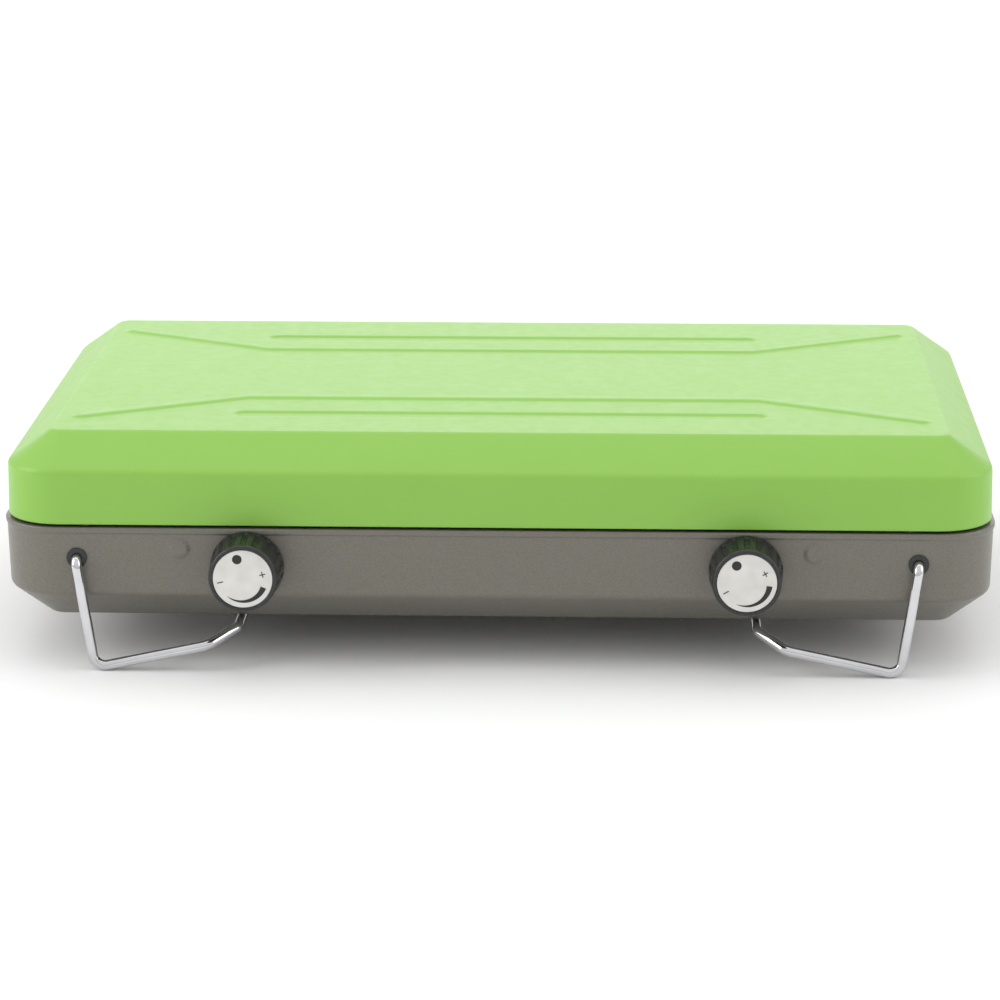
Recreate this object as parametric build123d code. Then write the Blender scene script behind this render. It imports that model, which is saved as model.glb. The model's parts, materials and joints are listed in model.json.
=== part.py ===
from build123d import *
import os
from math import atan2, cos, degrees, hypot, radians, sin

# Suitcase-style two-burner camping stove, lid closed, standing on its two wire bails.
# Millimetres, +X to the stove's right, +Y to the rear, +Z up.
# Origin: on the ground, under the middle of the stove.

# ---- driving dimensions ----
SHEET = 0.8                     # pressed steel of the tray and the lid
PAN_SHEET = 0.7                 # pressed steel of the hob plate
WIRE_R = 3.0                    # leg bails, 6 mm spring wire
RUN_GAP = 0.06                  # radial play of a running fit

TRAY_W = 572.0                  # tray rim, side to side
TRAY_D = 340.0                  # tray rim, front to rear
TRAY_CORNER_R = 34.0
TRAY_WALL_H = 40.0
TRAY_DRAFT = 1.5                # the walls lean in this much towards the bottom
TRAY_CHAMFER_W = 23.5
TRAY_CHAMFER_H = 19.0
TRAY_CREASE_R = 5.0             # soft bends where wall, chamfer and floor meet

LID_W = 568.0
LID_D = 338.0
LID_CORNER_R = 33.0
LID_GAP = 1.5                   # air between tray rim and lid rim, held by the buffers
LID_WALL_H = 31.1
LID_DRAFT = 0.5
LID_CHAMFER_H = 18.2
LID_CHAMFER_W = 25.6
LID_TOP_CORNER_R = 7.0
LID_CREASE_R = 4.0

PIVOT_X = 240.4                 # leg pivots in the front and rear walls
PIVOT_Z = 65.8                  # above the ground
PIVOT_BELOW_RIM = 18.0
ARM_OUT = 4.8                   # plane of the leg arms, outside the tray's rim
FOOT_IN = 9.2                   # the foot corner lies this far inboard of the pivot
FOOT_BEND_R = 7.0
STEP_X, STEP_Z = 166.0, 15.5    # first kink of the leg, above the ground
RUN_X, RUN_Z = 149.8, 21.3      # second kink, where the wire turns rearward
RUN_IN = 18.1                   # the second kink lies this far behind the arms' plane

KNOB_X = 142.4
KNOB_Z = 61.5
KNOB_REACH = 24.5               # from the front wall to the knob's face
KNOB_SKIRT_R = 21.2
KNOB_RIM_R = 19.6
DISC_R = 17.1
SPINDLE_R = 3.0
FLUTES = 18

BURNER_Y = 10.0
HINGE_X = 100.0
HINGE_OUT = 9.5                 # hinge axis behind the tray's rear rim
PIN_R = 2.0

# ---- levels and half sizes worked out from them ----
RIM_Z = PIVOT_Z + PIVOT_BELOW_RIM
CREASE_Z = RIM_Z - TRAY_WALL_H
FLOOR_Z = CREASE_Z - TRAY_CHAMFER_H
LID_Z = RIM_Z + LID_GAP
SHOULDER_Z = LID_Z + LID_WALL_H
TOP_Z = SHOULDER_Z + LID_CHAMFER_H
REAR_Y = TRAY_D / 2
ARM_Y = REAR_Y + ARM_OUT
RUN_Y = ARM_Y - RUN_IN
NEAR_Y, FAR_Y = REAR_Y - 17, REAR_Y + 13   # a drill through the front or rear wall
HINGE_Y = REAR_Y + HINGE_OUT
HINGE_Z = RIM_Z + LID_GAP / 2
SIDES = {"left": -1, "right": 1}
CORNERS = [(sx, sy) for sx in (-1, 1) for sy in (-1, 1)]


def wall_y(z):
    """Distance of the tray wall's outer face from the middle plane, at height z."""
    return REAR_Y - TRAY_DRAFT * (RIM_Z - z) / TRAY_WALL_H


# ---- small helpers ----
def rod_y(x, z, y0, y1, radius):
    """A cylinder along Y."""
    middle = Pos(x, (y0 + y1) / 2, z)
    return middle * Rot(90, 0, 0) * Cylinder(radius, abs(y1 - y0))


def rod_x(y, z, x0, x1, radius):
    """A cylinder along X."""
    middle = Pos((x0 + x1) / 2, y, z)
    return middle * Rot(0, 90, 0) * Cylinder(radius, abs(x1 - x0))


def rod_z(x, y, z0, z1, radius):
    """A cylinder along Z."""
    return Pos(x, y, (z0 + z1) / 2) * Cylinder(radius, z1 - z0)


def block(x0, x1, y0, y1, z0, z1):
    """A box between two corners."""
    middle = Pos((x0 + x1) / 2, (y0 + y1) / 2, (z0 + z1) / 2)
    return middle * Box(x1 - x0, y1 - y0, z1 - z0)


def hexagon_y(x, z, y0, y1, across_flats):
    """A hexagonal prism along Y."""
    profile = RegularPolygon(across_flats / 2, 6, major_radius=False)
    prism = extrude(profile, abs(y1 - y0))
    return Pos(x, max(y0, y1), z) * Rot(90, 0, 0) * prism


def section(width, depth, radius, z):
    """One rounded rectangular loft section at height z."""
    return (Pos(0, 0, z) * RectangleRounded(width, depth, radius)).face()


def slab(width, depth, radius, z0, z1):
    """A flat rounded rectangular plate between two heights."""
    return Pos(0, 0, z0) * extrude(RectangleRounded(width, depth, radius), z1 - z0)


def stack(sections):
    """Ruled lofts between neighbouring sections, as one solid."""
    body = loft(sections[0:2], ruled=True)
    for lower, upper in zip(sections[1:-1], sections[2:]):
        body += loft([lower, upper], ruled=True)
    return body


def wire(points, bends, radius):
    """A round wire through the points, with one bend radius for each inner point."""
    path = FilletPolyline(*points, radius=bends)
    return sweep((path ^ 0) * Circle(radius), path=path)


def soften(body, level, radius):
    """Round the long crease that runs round the body at one height."""
    ring = body.edges().filter_by(lambda e: abs(e.bounding_box().min.Z - level) < 0.05
                                  and abs(e.bounding_box().max.Z - level) < 0.05)
    return fillet(ring, radius)


def save(part, name):
    part.label = name
    export_step(part, f"parts/{name}.step")


def save_group(solids, name):
    save(Compound(children=[solid.solid() for solid in solids]), name)


# ---- base tray ----
def tray_form(inset):
    """The tray's outside form, or its inside form when inset is the sheet thickness."""
    lean = 2 * TRAY_DRAFT
    slope = hypot(TRAY_CHAMFER_W, TRAY_CHAMFER_H)
    out, down = TRAY_CHAMFER_H / slope, TRAY_CHAMFER_W / slope
    floor_in = inset * (1 - down) / out
    crease_up = inset * (1 - out) / down
    floor_cut = lean + 2 * TRAY_CHAMFER_W + 2 * floor_in
    levels = [
        (floor_cut, TRAY_CORNER_R - TRAY_CHAMFER_W - 1.5, FLOOR_Z + inset),
        (lean + 2 * inset, TRAY_CORNER_R - TRAY_DRAFT - inset, CREASE_Z + crease_up),
        (2 * inset, TRAY_CORNER_R - inset, RIM_Z + 1.0 * (inset > 0)),
    ]
    body = stack([section(TRAY_W - c, TRAY_D - c, r, z) for c, r, z in levels])
    body = soften(body, CREASE_Z + crease_up, TRAY_CREASE_R - inset)
    return soften(body, FLOOR_Z + inset, TRAY_CREASE_R - inset)


RIM_FLANGE = 7.0                # flat top of the rim
LEDGE_DROP = 3.0                # the hob plate's ledge lies this far below the rim
LEDGE_W = 12.0
DIMPLE_X = 181.3
DIMPLE_Z = PIVOT_Z + 5.8
DIMPLE_R = 5.9
DIMPLE_H = 1.3
BUSH_R = 4.4
VALVE_HOLE_R = 5.0
VALVE_SCREW_X = 11.5
INLET_HOLE_R = 7.0
INLET_NIPPLE_R = 6.5
INLET_NIPPLE_L = 19.0
INLET_END_Y = REAR_Y + KNOB_REACH
INLET_Z = 60.0
RIVET_R = 1.6


def ring(width, depth, radius, inward, z0, z1):
    """A flat rounded rectangular ring, as wide as inward."""
    hole = slab(width - 2 * inward, depth - 2 * inward, radius - inward, z0 - 1, z1 + 1)
    return slab(width, depth, radius, z0, z1) - hole


def hinge_rivet_spots(z):
    return [(side * HINGE_X + dx, z) for side in (-1, 1) for dx in (-11, 11)]


BASE_RIVET_Z = RIM_Z - 13.0
LID_RIVET_Z = LID_Z + 13.0
HOB_SCREWS = [(x, sy * (REAR_Y - 13)) for x in (-225.0, 0.0, 225.0) for sy in (-1, 1)]
HOB_SCREW_R = 2.0


def base_tray():
    tray = tray_form(0) - tray_form(SHEET)
    step_w, step_d = TRAY_W - 2 * RIM_FLANGE, TRAY_D - 2 * RIM_FLANGE
    step_r = TRAY_CORNER_R - RIM_FLANGE
    tray += ring(TRAY_W - 1, TRAY_D - 1, TRAY_CORNER_R - 0.5, RIM_FLANGE - 0.5, RIM_Z - SHEET, RIM_Z)
    tray += ring(step_w + 2 * SHEET, step_d + 2 * SHEET, step_r + SHEET, SHEET,
                 RIM_Z - LEDGE_DROP - SHEET, RIM_Z)
    tray += ring(step_w + 2 * SHEET, step_d + 2 * SHEET, step_r + SHEET, LEDGE_W,
                 RIM_Z - LEDGE_DROP - SHEET, RIM_Z - LEDGE_DROP)
    wall = wall_y(DIMPLE_Z)
    for sx, sy in CORNERS:
        dimple = Rot(-90 * sy, 0, 0) * Cone(DIMPLE_R, DIMPLE_R - 2.0, 2 * DIMPLE_H)
        tray += Pos(sx * DIMPLE_X, sy * wall, DIMPLE_Z) * dimple
        tray -= rod_y(sx * PIVOT_X, PIVOT_Z, sy * NEAR_Y, sy * FAR_Y, BUSH_R)
    for sx in SIDES.values():
        tray -= rod_y(sx * KNOB_X, KNOB_Z, -FAR_Y, -NEAR_Y, VALVE_HOLE_R)
        for dx in (-VALVE_SCREW_X, VALVE_SCREW_X):
            tray -= rod_y(sx * KNOB_X + dx, KNOB_Z, -FAR_Y, -NEAR_Y, HOB_SCREW_R)
    for x, z in hinge_rivet_spots(BASE_RIVET_Z):
        tray -= rod_y(x, z, NEAR_Y, FAR_Y, RIVET_R)
    tray -= rod_y(0, INLET_Z, NEAR_Y, FAR_Y, INLET_HOLE_R)
    for x, y in HOB_SCREWS:
        tray -= rod_z(x, y, RIM_Z - 6, RIM_Z - 1, HOB_SCREW_R)
    return tray


# ---- lid ----
BEAD_H = 1.0                    # how far beads stand up and grooves sink
BEAD_BEND = (152.0, 62.5)       # where each long bead turns towards the corner
BEAD_END = (245.0, 110.5)
BEAD_W = 12.0
GROOVE_LINES = (-102.0, 94.0)    # the front groove lies a little further out
GROOVE_END = 149.0
GROOVE_W = 15.0
BUFFER_SPOTS = [(sx * 235.0, sy * (LID_D / 2 - 4)) for sx, sy in CORNERS]
BUFFER_STEM_R = 1.8


def lid_form(inset):
    """The lid's outside form, or its inside form when inset is the sheet thickness."""
    shoulder_w, shoulder_d = LID_W - 2 * LID_DRAFT, LID_D - 2 * LID_DRAFT
    slim = 0.3 * inset
    levels = [
        (LID_W - 2 * inset, LID_D - 2 * inset, LID_CORNER_R - inset,
         LID_Z - 1.0 * (inset > 0)),
        (shoulder_w - 2 * inset, shoulder_d - 2 * inset, LID_CORNER_R - inset,
         SHOULDER_Z - 0.45 * inset),
        (shoulder_w - 2 * LID_CHAMFER_W - 2 * slim,
         shoulder_d - 2 * LID_CHAMFER_W - 2 * slim, LID_TOP_CORNER_R, TOP_Z - inset),
    ]
    body = stack([section(*level[:3], level[3]) for level in levels])
    body = soften(body, SHOULDER_Z - 0.45 * inset, LID_CREASE_R - inset)
    return soften(body, TOP_Z - inset, LID_CREASE_R - inset)


def bead(x0, y0, x1, y1, width):
    """One straight pressed bead on the lid's top, with sloped flanks and round ends."""
    length = hypot(x1 - x0, y1 - y0)
    turn = Rot(0, 0, degrees(atan2(y1 - y0, x1 - x0)))
    place = Pos((x0 + x1) / 2, (y0 + y1) / 2, 0)
    outline = turn * SlotCenterToCenter(length, width)
    return place * extrude(outline, BEAD_H, taper=45)


def long_beads():
    """Two raised beads: straight in the middle, slanted towards the lid's corners."""
    (bend_x, bend_y), (end_x, end_y) = BEAD_BEND, BEAD_END
    beads = []
    for sy in (-1, 1):
        beads.append(bead(-bend_x, sy * bend_y, bend_x, sy * bend_y, BEAD_W))
        for sx in (-1, 1):
            beads.append(bead(sx * bend_x, sy * bend_y, sx * end_x, sy * end_y, BEAD_W))
    return beads


def grooves():
    """Two straight grooves, one beside each long bead."""
    return [bead(-GROOVE_END, y, GROOVE_END, y, GROOVE_W) for y in GROOVE_LINES]


def lid_shell():
    outer = lid_form(0)
    inner = lid_form(SHEET)
    for shape in long_beads():
        outer += Pos(0, 0, TOP_Z) * shape
        inner += Pos(0, 0, TOP_Z - SHEET) * shape
    for shape in grooves():
        outer -= Pos(0, 0, TOP_Z) * Rot(180, 0, 0) * shape
        inner -= Pos(0, 0, TOP_Z - SHEET) * Rot(180, 0, 0) * shape
    lid = outer - inner
    lid += ring(LID_W - 1, LID_D - 1, LID_CORNER_R - 0.5, 6.5, LID_Z, LID_Z + SHEET)
    for x, z in hinge_rivet_spots(LID_RIVET_Z):
        lid -= rod_y(x, z, NEAR_Y, FAR_Y, RIVET_R)
    for x, y in BUFFER_SPOTS:
        lid -= rod_z(x, y, LID_Z - 2, LID_Z + 2, BUFFER_STEM_R)
    return lid


def lid_buffers():
    """Rubber studs pressed into the lid's flange, just clear of the tray rim."""
    studs = []
    for x, y in BUFFER_SPOTS:
        stud = rod_z(x, y, LID_Z - LID_GAP + 0.4, LID_Z, 2.9)
        stud += rod_z(x, y, LID_Z, LID_Z + SHEET, BUFFER_STEM_R)
        stud += rod_z(x, y, LID_Z + SHEET, LID_Z + SHEET + 1.6, 2.6)
        studs.append(stud)
    return studs


# ---- hob plate ----
HOB_TOP_Z = RIM_Z - LEDGE_DROP
HOB_FLOOR_Z = RIM_Z - 12.0
HOB_GAP = 0.4
BURNER_HOLE_R = 31.0


def drip_pan():
    """The hob plate: a shallow pressed dish that hangs from the tray's ledge."""
    width = TRAY_W - 2 * RIM_FLANGE - 2 * HOB_GAP
    depth = TRAY_D - 2 * RIM_FLANGE - 2 * HOB_GAP
    well_w, well_d, well_r = width - 2 * LEDGE_W - 2, depth - 2 * LEDGE_W - 2, 14.0
    pan = ring(width, depth, TRAY_CORNER_R - RIM_FLANGE - HOB_GAP, LEDGE_W + 1, HOB_TOP_Z, HOB_TOP_Z + PAN_SHEET)
    pan += ring(well_w + 2 * PAN_SHEET, well_d + 2 * PAN_SHEET, well_r + PAN_SHEET,
                PAN_SHEET, HOB_FLOOR_Z, HOB_TOP_Z + PAN_SHEET)
    pan += slab(well_w + 2 * PAN_SHEET, well_d + 2 * PAN_SHEET, well_r + PAN_SHEET,
                HOB_FLOOR_Z, HOB_FLOOR_Z + PAN_SHEET)
    for sx in SIDES.values():
        x = sx * KNOB_X
        collar = rod_z(x, BURNER_Y, HOB_FLOOR_Z, HOB_FLOOR_Z + 3, BURNER_HOLE_R + PAN_SHEET)
        pan += collar
        pan -= rod_z(x, BURNER_Y, HOB_FLOOR_Z - 1, HOB_FLOOR_Z + 4, BURNER_HOLE_R)
    for x, y in HOB_SCREWS:
        pan -= rod_z(x, y, HOB_TOP_Z - 1, HOB_TOP_Z + 2, HOB_SCREW_R)
    return pan


def hob_screws():
    """Pan-head screws through the hob plate's flange and the tray's ledge."""
    screws = []
    for x, y in HOB_SCREWS:
        head = HOB_TOP_Z + PAN_SHEET
        screw = rod_z(x, y, head - 9, head, HOB_SCREW_R)
        screw += rod_z(x, y, head, head + 1.7, 3.5)
        screw -= Pos(x, y, head + 1.7) * Box(5, 0.8, 1.4)
        screw -= Pos(x, y, head + 1.7) * Box(0.8, 5, 1.4)
        screws.append(screw)
    return screws


# ---- burners ----
CUP_R = 28.0
MIX_R = 8.0
VALVE_FRONT_Y = 7.0 - REAR_Y
VALVE_REAR_Y = VALVE_FRONT_Y + 28
INJECTOR_TIP_Y = VALVE_REAR_Y + 16
CAP_Z = HOB_FLOOR_Z + 13.0


def burner_body(sx):
    """Cast cup with a seat on the hob plate's collar and a mixing tube to the front."""
    x = sx * KNOB_X
    body = rod_z(x, BURNER_Y, KNOB_Z - 11, CAP_Z - 4, CUP_R)
    body += rod_z(x, BURNER_Y, HOB_FLOOR_Z + 3, HOB_FLOOR_Z + 5, BURNER_HOLE_R + 4)
    body += rod_y(x, KNOB_Z, INJECTOR_TIP_Y + 8, BURNER_Y - 10, MIX_R)
    body += rod_y(x, KNOB_Z, INJECTOR_TIP_Y + 1, INJECTOR_TIP_Y + 10, MIX_R + 2)
    body -= rod_z(x, BURNER_Y, KNOB_Z - 9, CAP_Z, CUP_R - 2.5)
    body -= rod_y(x, KNOB_Z, INJECTOR_TIP_Y - 2, BURNER_Y - 10, MIX_R - 1.5)
    body -= block(x - 12, x + 12, INJECTOR_TIP_Y + 3, INJECTOR_TIP_Y + 7.5,
                  KNOB_Z - 4, KNOB_Z + 4)
    port_z = CAP_Z - 6.5
    for index in range(20):
        spoke = Pos(x, BURNER_Y, port_z) * Rot(0, 0, 18 * index) * Rot(0, 90, 0)
        body -= spoke * Pos(0, 0, CUP_R) * Cylinder(1.2, 12)
    for dx in (-1, 1):
        boss = rod_z(x + dx * 20, BURNER_Y, KNOB_Z - 9.5, CAP_Z - 5, 3.6)
        body += boss
        body -= rod_z(x + dx * 20, BURNER_Y, CAP_Z - 16, CAP_Z + 1, 1.5)
    return body


def burner_cap(sx):
    """Flat dished cap that closes the burner cup."""
    x = sx * KNOB_X
    cap = rod_z(x, BURNER_Y, CAP_Z - 4, CAP_Z - 1, CUP_R + 1.5)
    cap += Pos(x, BURNER_Y, CAP_Z) * Cone(CUP_R - 1, CUP_R - 8, 2)
    cap -= rod_z(x, BURNER_Y, CAP_Z, CAP_Z + 3, CUP_R - 13)
    for dx in (-1, 1):
        cap -= rod_z(x + dx * 20, BURNER_Y, CAP_Z - 5, CAP_Z + 2, 1.5)
        cap -= rod_z(x + dx * 20, BURNER_Y, CAP_Z - 2, CAP_Z + 2, 3.2)
    return cap


def burner_screws():
    """Two countersunk screws hold each cap on its cup."""
    screws = []
    for sx in SIDES.values():
        for dx in (-20, 20):
            x = sx * KNOB_X + dx
            screw = rod_z(x, BURNER_Y, CAP_Z - 12, CAP_Z - 2, 1.5)
            screw += rod_z(x, BURNER_Y, CAP_Z - 2, CAP_Z - 0.4, 3.0)
            screw -= Pos(x, BURNER_Y, CAP_Z - 0.4) * Box(7, 0.7, 1.2)
            screws.append(screw)
    return screws


# ---- valves and gas pipe ----
PIPE_R = 5.0
FEED_R = 4.0
PIPE_Y, PIPE_Z = VALVE_REAR_Y - 14, 46.0
FLANGE_T = 2.0


def valve_body(sx, tray_solid):
    """Brass tap: mounting flange, body, saddle for the pipe and outlet boss."""
    x = sx * KNOB_X
    front = -wall_y(KNOB_Z) - 0.5
    body = block(x - 17, x + 17, front, VALVE_FRONT_Y, KNOB_Z - 8, KNOB_Z + 8) - tray_solid
    body -= block(x - 20, x + 20, -FAR_Y, -wall_y(KNOB_Z) + SHEET / 2, 40, 90)
    body += rod_y(x, KNOB_Z, VALVE_FRONT_Y, VALVE_REAR_Y, 9.0)
    body += block(x - 8, x + 8, PIPE_Y - 8, PIPE_Y + 8, PIPE_Z - 8, KNOB_Z)
    body += hexagon_y(x, KNOB_Z, VALVE_REAR_Y - 1, VALVE_REAR_Y + 5, 14.0)
    body -= rod_x(PIPE_Y, PIPE_Z, x - 12, x + 12, PIPE_R)
    body -= rod_y(x, KNOB_Z, -FAR_Y, VALVE_REAR_Y - 9, SPINDLE_R + RUN_GAP)
    body -= rod_y(x, KNOB_Z, VALVE_REAR_Y - 8, VALVE_REAR_Y + 6, 2.5)
    for dx in (-VALVE_SCREW_X, VALVE_SCREW_X):
        body -= rod_y(x + dx, KNOB_Z, -FAR_Y, VALVE_FRONT_Y - 1.5, HOB_SCREW_R)
    return body


def injector(sx):
    """Brass nozzle screwed into the valve's outlet."""
    x = sx * KNOB_X
    start = VALVE_REAR_Y + 5
    nozzle = rod_y(x, KNOB_Z, VALVE_REAR_Y - 4, start, 2.5)
    nozzle += hexagon_y(x, KNOB_Z, start, start + 5, 8.0)
    nozzle += rod_y(x, KNOB_Z, start + 5, INJECTOR_TIP_Y, 3.0)
    nozzle -= rod_y(x, KNOB_Z, VALVE_REAR_Y - 5, INJECTOR_TIP_Y - 2, 1.2)
    nozzle -= rod_y(x, KNOB_Z, INJECTOR_TIP_Y - 3, INJECTOR_TIP_Y + 1, 0.35)
    return nozzle


def valve_screws(tray_solid):
    """Two screws through the front wall into each valve's flange, behind the knob."""
    screws = []
    face = -wall_y(KNOB_Z)
    for sx in SIDES.values():
        for dx in (-VALVE_SCREW_X, VALVE_SCREW_X):
            x = sx * KNOB_X + dx
            head = rod_y(x, KNOB_Z, face - 2.2, face + 0.3, 3.3) - tray_solid
            screws.append(head + rod_y(x, KNOB_Z, face - 0.5, VALVE_FRONT_Y - 1.5, HOB_SCREW_R))
    return screws


def valve_spindle(sx):
    """Steel spindle from the tap to the knob, with a flat for the knob."""
    x = sx * KNOB_X
    face = -wall_y(KNOB_Z)
    spindle = rod_y(x, KNOB_Z, face - 19, VALVE_REAR_Y - 9.5, SPINDLE_R)
    flat = block(x - 5, x + 5, face - 20, face - 8, KNOB_Z + SPINDLE_R - 1, KNOB_Z + 8)
    return spindle - flat


def gas_manifold():
    """Brazed steel pipe: a cross pipe between the taps and a feed to the rear inlet."""
    end = KNOB_X + 14
    cross = rod_x(PIPE_Y, PIPE_Z, -end, end, PIPE_R)
    bore = rod_x(PIPE_Y, PIPE_Z, 2 - end, end - 2, PIPE_R - 1.2)
    route = [(0, PIPE_Y, PIPE_Z), (0, REAR_Y - 65, PIPE_Z),
             (0, REAR_Y - 39, INLET_Z), (0, REAR_Y - 18, INLET_Z)]
    feed = wire(route, [22, 22], FEED_R)
    feed_bore = wire(route, [22, 22], FEED_R - 1.0)
    return (cross + feed) - (bore + feed_bore)


def gas_inlet():
    """Hexagonal bulkhead fitting with a plain male nipple behind the stove."""
    inside = wall_y(INLET_Z) - SHEET - 1.2
    fitting = hexagon_y(0, INLET_Z, REAR_Y - 23, inside, 19.0)
    fitting += rod_y(0, INLET_Z, inside - 1, INLET_END_Y - INLET_NIPPLE_L, INLET_HOLE_R)
    fitting += rod_y(0, INLET_Z, inside - 1, INLET_END_Y, INLET_NIPPLE_R)
    fitting -= rod_y(0, INLET_Z, REAR_Y - 27, REAR_Y - 18, FEED_R)
    fitting -= rod_y(0, INLET_Z, REAR_Y - 19, INLET_END_Y + 1, 3.0)
    return fitting


def inlet_gasket(tray_solid):
    """Fibre washer between the fitting and the inside of the rear wall."""
    inside = wall_y(INLET_Z) - SHEET - 1.2
    washer = rod_y(0, INLET_Z, inside, inside + 1.8, 9.0)
    washer -= rod_y(0, INLET_Z, inside - 1, inside + 3, INLET_HOLE_R)
    return biggest(washer - tray_solid)


def inlet_lock_nut(tray_solid):
    """Hexagonal nut that clamps the fitting to the rear wall."""
    face = wall_y(INLET_Z)
    nut = hexagon_y(0, INLET_Z, face - 0.5, face + 5.0, 19.0)
    nut -= rod_y(0, INLET_Z, face - 2, face + 8, INLET_HOLE_R)
    return biggest(nut - tray_solid)


def biggest(part):
    """The largest solid of a cut, dropping slivers left on the far side of a wall."""
    return Part() + sorted(part.solids(), key=lambda solid: solid.volume)[-1]


def pipe_clip():
    """Steel saddle that ties the feed pipe to the tray floor."""
    floor = FLOOR_Z + SHEET
    clip = block(-16, 16, -6, 6, floor, floor + 1.2)
    clip += block(-FEED_R - 1.2, FEED_R + 1.2, -6, 6, floor, PIPE_Z)
    clip += rod_y(0, PIPE_Z, -6, 6, FEED_R + 1.2)
    clip -= block(-FEED_R, FEED_R, -7, 7, floor + 1.2, PIPE_Z - 1)
    clip -= rod_y(0, PIPE_Z, -7, 7, FEED_R)
    return clip


# ---- pan supports ----
GRID_R = 2.5
BAR_R = 2.1
PRONG_R = 2.3
GRID_X, GRID_Y = 92.0, 116.0
GRID_BAR_X = 46.0
PRONG_IN = 22.0
GRID_Z = HOB_FLOOR_Z + 26.0


def pan_support(sx):
    """Wire grid: a rounded frame, four prongs over the burner and four bent feet."""
    x = sx * KNOB_X
    floor = HOB_FLOOR_Z + PAN_SHEET
    corner = 16.0
    half = [(x - GRID_X, BURNER_Y), (x - GRID_X, BURNER_Y + GRID_Y),
            (x + GRID_X, BURNER_Y + GRID_Y), (x + GRID_X, BURNER_Y)]
    rear = wire([(px, py, GRID_Z) for px, py in half], [corner, corner], GRID_R)
    grid = rear + Pos(0, 2 * BURNER_Y, 0) * mirror(rear, about=Plane.XZ)
    for dx, dy in CORNERS:
        foot_x, foot_y = x + dx * (GRID_X - 30), BURNER_Y + dy * GRID_Y
        grid += rod_z(foot_x, foot_y, floor, GRID_Z, BAR_R)
    for dx in (-1, 1):
        grid += rod_y(x + dx * GRID_BAR_X, GRID_Z, BURNER_Y - GRID_Y, BURNER_Y + GRID_Y, BAR_R)
        ends = sorted((x + dx * PRONG_IN, x + dx * GRID_X))
        grid += rod_x(BURNER_Y, GRID_Z, ends[0], ends[1], PRONG_R)
    for dy in (-1, 1):
        grid += rod_y(x, GRID_Z, BURNER_Y + dy * PRONG_IN, BURNER_Y + dy * GRID_Y, PRONG_R)
    return grid


# ---- legs ----
def leg_bail(sx):
    """One leg: a single wire, hooked into the front and the rear wall."""
    foot_z = WIRE_R - FOOT_BEND_R * FOOT_SAG
    half = [
        (PIVOT_X, REAR_Y - 11, PIVOT_Z),
        (PIVOT_X, ARM_Y, PIVOT_Z),
        (PIVOT_X - FOOT_IN, ARM_Y, foot_z),
        (STEP_X, ARM_Y, STEP_Z),
        (RUN_X, RUN_Y, RUN_Z),
    ]
    front = [(sx * x, -y, z) for x, y, z in half]
    rear = [(sx * x, y, z) for x, y, z in reversed(half)]
    bends = [5.0, FOOT_BEND_R, 8.0, 6.0]
    return wire(front + rear, bends + bends[::-1], WIRE_R)


def foot_sag():
    """How far the foot's bend lies above its sharp corner, per unit of bend radius."""
    drop = atan2(-(PIVOT_Z - 1.5), FOOT_IN)
    rise = atan2(STEP_Z - 1.5, PIVOT_X - FOOT_IN - STEP_X)
    half_turn = (rise - drop) / 2
    bisector = (rise + drop) / 2 + radians(90)
    return sin(bisector) / cos(half_turn) - 1


FOOT_SAG = foot_sag()


def leg_clips(sx):
    """Push-on clips on the wire's ends, inside the tray."""
    clips = []
    for sy in (-1, 1):
        clip = rod_y(sx * PIVOT_X, PIVOT_Z, sy * (REAR_Y - 9.4), sy * (REAR_Y - 8.4), 7.0)
        clips.append(clip - rod_y(sx * PIVOT_X, PIVOT_Z, sy * NEAR_Y, sy * FAR_Y, WIRE_R))
    return clips


def leg_bushes(tray_solid):
    """Black bushes that line the four pivot holes."""
    bushes = []
    face = wall_y(PIVOT_Z)
    for sx, sy in CORNERS:
        x = sx * PIVOT_X
        bush = rod_y(x, PIVOT_Z, sy * (face - 3.2), sy * (face + 0.75), BUSH_R)
        bush += rod_y(x, PIVOT_Z, sy * (face - 0.3), sy * (face + 0.75), BUSH_R + 1.5)
        bush += rod_y(x, PIVOT_Z, sy * (face - 3.2), sy * (face - 0.4), BUSH_R + 1.2)
        bush -= tray_solid
        bushes.append(bush - rod_y(x, PIVOT_Z, sy * NEAR_Y, sy * FAR_Y, WIRE_R + RUN_GAP))
    return bushes


# ---- knobs ----
KNOB_STANDOFF = 1.0
DISC_T = 0.8


def knob_body(sx):
    """Fluted knob: tapered skirt, hollow behind, hub on the spindle, pocket for the disc."""
    x = sx * KNOB_X
    back = -wall_y(KNOB_Z) - KNOB_STANDOFF
    front = -REAR_Y - KNOB_REACH
    length = back - front
    shell = Cone(KNOB_SKIRT_R, KNOB_RIM_R, length) - Pos(0, 0, -2.5) * Cone(
        KNOB_SKIRT_R - 3.5, KNOB_RIM_R - 3.5, length - 5)
    knob = Pos(x, (back + front) / 2, KNOB_Z) * Rot(90, 0, 0) * shell
    knob += rod_y(x, KNOB_Z, back - 2.5, front + 3, 6.5)
    knob -= rod_y(x, KNOB_Z, front - 1, front + DISC_T + 0.3, DISC_R)
    spindle = valve_spindle(sx)
    knob -= spindle
    for index in range(FLUTES):
        turn = 360 / FLUTES * (index + 0.5)
        spot = (x + (KNOB_SKIRT_R + 1.6) * sin(radians(turn)),
                KNOB_Z + (KNOB_SKIRT_R + 1.6) * cos(radians(turn)))
        knob -= rod_y(spot[0], spot[1], back + 1, front + 4, 2.4)
    return knob


def knob_disc(sx):
    """Thin metal dial disc set into the knob's face."""
    x = sx * KNOB_X
    face = -REAR_Y - KNOB_REACH + 0.3
    return rod_y(x, KNOB_Z, face, face + DISC_T, DISC_R)


# ---- hinges ----
KNUCKLE_R = 3.8
LEAF_T = 1.5
LEAF_HALF = 18.0
LID_KNUCKLE_HALF = 8.6
KNUCKLE_GAP = 0.4


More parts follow.
